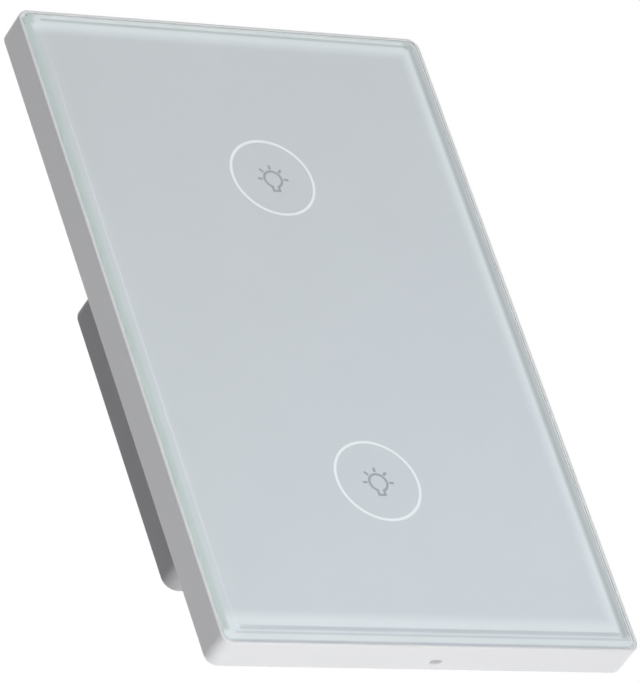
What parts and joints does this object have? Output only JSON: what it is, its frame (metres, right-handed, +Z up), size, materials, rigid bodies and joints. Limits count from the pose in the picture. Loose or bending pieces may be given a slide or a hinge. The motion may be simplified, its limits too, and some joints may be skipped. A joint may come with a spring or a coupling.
{
  "type": "touch light switch",
  "caption": "Wall touch switch: bevelled glass panel with ringed keys on a pull-off frame, a slotted mounting plate, and a rear box with boards, relays and screw terminals.",
  "frame": {"origin": "middle of the wall screw pattern, in the wall plane at the back of the mounting plate", "axes": "+X to the right seen from the front, +Y into the wall, +Z up; the glass faces -Y"},
  "size_m": [0.074, 0.0345, 0.12],
  "materials": {
    "glass": "clear, polished, bevelled",
    "back_print": "pale blue-grey opaque print",
    "icon_ink": "grey ink",
    "light_guide": "translucent white",
    "tape": "foam adhesive strip",
    "white_plastic": "white, fine satin moulding",
    "box_plastic": "white, fine spark-eroded texture",
    "circuit_board": "green solder mask",
    "pad_foam": "conductive foam",
    "lamp": "small lamp bodies",
    "chip": "black moulding",
    "contact_brass": "plated brass",
    "steel": "zinc-plated steel",
    "relay_black": "black moulding",
    "relay_blue": "blue moulded cover",
    "iron": "plated soft iron",
    "bobbin_plastic": "ivory moulding",
    "copper": "lacquered copper wire",
    "ferrite": "dark ferrite",
    "winding_tape": "yellow film tape",
    "capacitor_sleeve": "dark sleeve",
    "film_box": "yellow case",
    "fuse_brown": "brown case",
    "varistor_blue": "blue dipped disc",
    "terminal_green": "green moulding"
  },
  "bodies": {
    "base": {"base_plate": "box_plastic", "touch_board": "circuit_board", "upper_touch_pad": "pad_foam", "lower_touch_pad": "pad_foam", "indicator_leds": "lamp", "touch_chip": "chip", "header_pins": "contact_brass", "header_socket": "chip", "board_screws": "steel", "rear_box": "box_plastic", "box_posts": "box_plastic", "box_screws": "steel", "power_board": "circuit_board", "transformer_core": "ferrite", "transformer_winding": "winding_tape", "filter_capacitor": "capacitor_sleeve", "film_capacitor": "film_box", "fuse": "fuse_brown", "varistor": "varistor_blue", "bridge_rectifier": "chip", "relay_1_base": "relay_black", "relay_1_cover": "relay_blue", "relay_1_yoke": "iron", "relay_1_bobbin": "bobbin_plastic", "relay_1_winding": "copper", "relay_1_contact": "contact_brass", "relay_2_base": "relay_black", "relay_2_cover": "relay_blue", "relay_2_yoke": "iron", "relay_2_bobbin": "bobbin_plastic", "relay_2_winding": "copper", "relay_2_contact": "contact_brass", "terminal_housing_1": "terminal_green", "terminal_bar_1": "contact_brass", "terminal_housing_2": "terminal_green", "terminal_bar_2": "contact_brass", "terminal_housing_3": "terminal_green", "terminal_bar_3": "contact_brass", "terminal_housing_4": "terminal_green", "terminal_bar_4": "contact_brass"},
    "panel": {"glass_panel": "glass", "back_print": "back_print", "upper_icon": "icon_ink", "lower_icon": "icon_ink", "upper_light_ring": "light_guide", "lower_light_ring": "light_guide", "panel_tape": "tape", "panel_frame": "white_plastic"},
    "armature_1": {"relay_1_armature": "iron"},
    "armature_2": {"relay_2_armature": "iron"},
    "screw_1": {"terminal_screw_1": "steel"},
    "cage_1": {"terminal_cage_1": "steel"},
    "screw_2": {"terminal_screw_2": "steel"},
    "cage_2": {"terminal_cage_2": "steel"},
    "screw_3": {"terminal_screw_3": "steel"},
    "cage_3": {"terminal_cage_3": "steel"},
    "screw_4": {"terminal_screw_4": "steel"},
    "cage_4": {"terminal_cage_4": "steel"}
  },
  "joints": [
    {"name": "panel_pull", "type": "slide", "parent": "base", "child": "panel", "axis": [0, -1, 0], "range_m": [0, 0.012]},
    {"name": "armature_1_swing", "type": "hinge", "parent": "base", "child": "armature_1", "pos_m": [-0.0132, 0.02099, 0.004], "axis": [-1, 0, 0], "range_deg": [0, 5], "stiffness_Nm_per_rad": 0.002, "springref_deg": -2.86},
    {"name": "armature_2_swing", "type": "hinge", "parent": "base", "child": "armature_2", "pos_m": [0.0132, 0.02099, 0.004], "axis": [-1, 0, 0], "range_deg": [0, 5], "stiffness_Nm_per_rad": 0.002, "springref_deg": -2.86},
    {"name": "screw_1_turn", "type": "hinge", "parent": "base", "child": "screw_1", "pos_m": [-0.0075, 0.0231, -0.02125], "axis": [0, -1, 0], "range_deg": [0, 1440]},
    {"name": "cage_1_rise", "type": "slide", "parent": "base", "child": "cage_1", "axis": [0, 1, 0], "range_m": [0, 0.0018]},
    {"name": "screw_2_turn", "type": "hinge", "parent": "base", "child": "screw_2", "pos_m": [-0.0025, 0.0231, -0.02125], "axis": [0, -1, 0], "range_deg": [0, 1440]},
    {"name": "cage_2_rise", "type": "slide", "parent": "base", "child": "cage_2", "axis": [0, 1, 0], "range_m": [0, 0.0018]},
    {"name": "screw_3_turn", "type": "hinge", "parent": "base", "child": "screw_3", "pos_m": [0.0025, 0.0231, -0.02125], "axis": [0, -1, 0], "range_deg": [0, 1440]},
    {"name": "cage_3_rise", "type": "slide", "parent": "base", "child": "cage_3", "axis": [0, 1, 0], "range_m": [0, 0.0018]},
    {"name": "screw_4_turn", "type": "hinge", "parent": "base", "child": "screw_4", "pos_m": [0.0075, 0.0231, -0.02125], "axis": [0, -1, 0], "range_deg": [0, 1440]},
    {"name": "cage_4_rise", "type": "slide", "parent": "base", "child": "cage_4", "axis": [0, 1, 0], "range_m": [0, 0.0018]}
  ],
  "couplings": [
    {"joint": "screw_1_turn", "follows": "cage_1_rise", "rad_per_m": 13963},
    {"joint": "screw_2_turn", "follows": "cage_2_rise", "rad_per_m": 13963},
    {"joint": "screw_3_turn", "follows": "cage_3_rise", "rad_per_m": 13963},
    {"joint": "screw_4_turn", "follows": "cage_4_rise", "rad_per_m": 13963}
  ]
}
